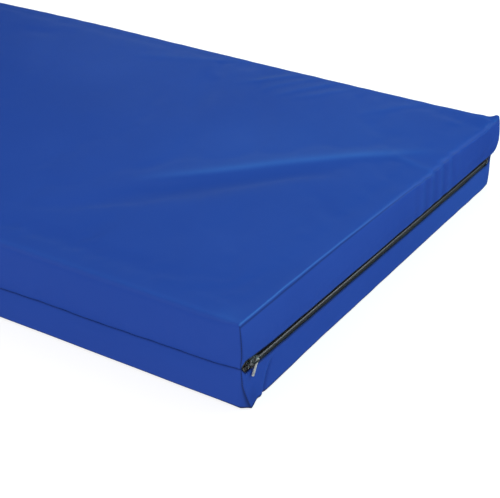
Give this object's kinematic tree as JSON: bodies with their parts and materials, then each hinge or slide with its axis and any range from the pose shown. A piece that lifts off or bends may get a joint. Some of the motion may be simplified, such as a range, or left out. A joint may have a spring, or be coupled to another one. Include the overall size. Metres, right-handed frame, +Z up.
{
  "type": "crash landing mat",
  "caption": "Thick rectangular gymnastics landing mat: laminated foam core in a coated vinyl cover that unzips across one short end.",
  "frame": {"origin": "middle of the underside, on the floor", "axes": "+X along the mat towards the zipped end, +Y across the mat, away from the end of the zip where it closes, +Z up"},
  "size_m": [1.8378, 0.915, 0.15],
  "materials": {
    "vinyl": "satin",
    "foam_soft": "matte",
    "foam_firm": "matte",
    "zip_tape": "matte",
    "zip_nylon": "satin",
    "zip_steel": "satin",
    "thread_blue": "matte",
    "thread_black": "matte"
  },
  "bodies": {
    "mat": {"upper_cover": "vinyl", "lower_cover": "vinyl", "foam_base": "foam_soft", "foam_top_layer": "foam_firm", "seam_thread_near_side": "thread_blue", "seam_thread_far_side": "thread_blue", "seam_thread_back_end": "thread_blue", "corner_thread_zip_near_upper": "thread_blue", "corner_thread_zip_near_lower": "thread_blue", "corner_thread_zip_far_upper": "thread_blue", "corner_thread_zip_far_lower": "thread_blue", "corner_thread_back_near_upper": "thread_blue", "corner_thread_back_near_lower": "thread_blue", "corner_thread_back_far_upper": "thread_blue", "corner_thread_back_far_lower": "thread_blue", "zipper_tape_upper": "zip_tape", "zipper_coil_upper": "zip_nylon", "top_stop_upper": "zip_steel", "zip_stitch_upper": "thread_black", "zipper_tape_lower": "zip_tape", "zipper_coil_lower": "zip_nylon", "top_stop_lower": "zip_steel", "zip_stitch_lower": "thread_black", "bottom_stop": "zip_steel", "bar_tack_near": "thread_black", "bar_tack_far": "thread_black"},
    "slider": {"slider_body": "zip_steel"},
    "pull": {"pull_tab": "zip_steel"}
  },
  "joints": [
    {"name": "slider_slide", "type": "slide", "parent": "mat", "child": "slider", "axis": [0, 0.9999, -0.0115], "range_m": [0, 0.8475]},
    {"name": "pull_swing", "type": "hinge", "parent": "slider", "child": "pull", "pos_m": [0.9202, -0.41747, 0.07054], "axis": [1, 0, 0], "range_deg": [-20, 122]}
  ]
}
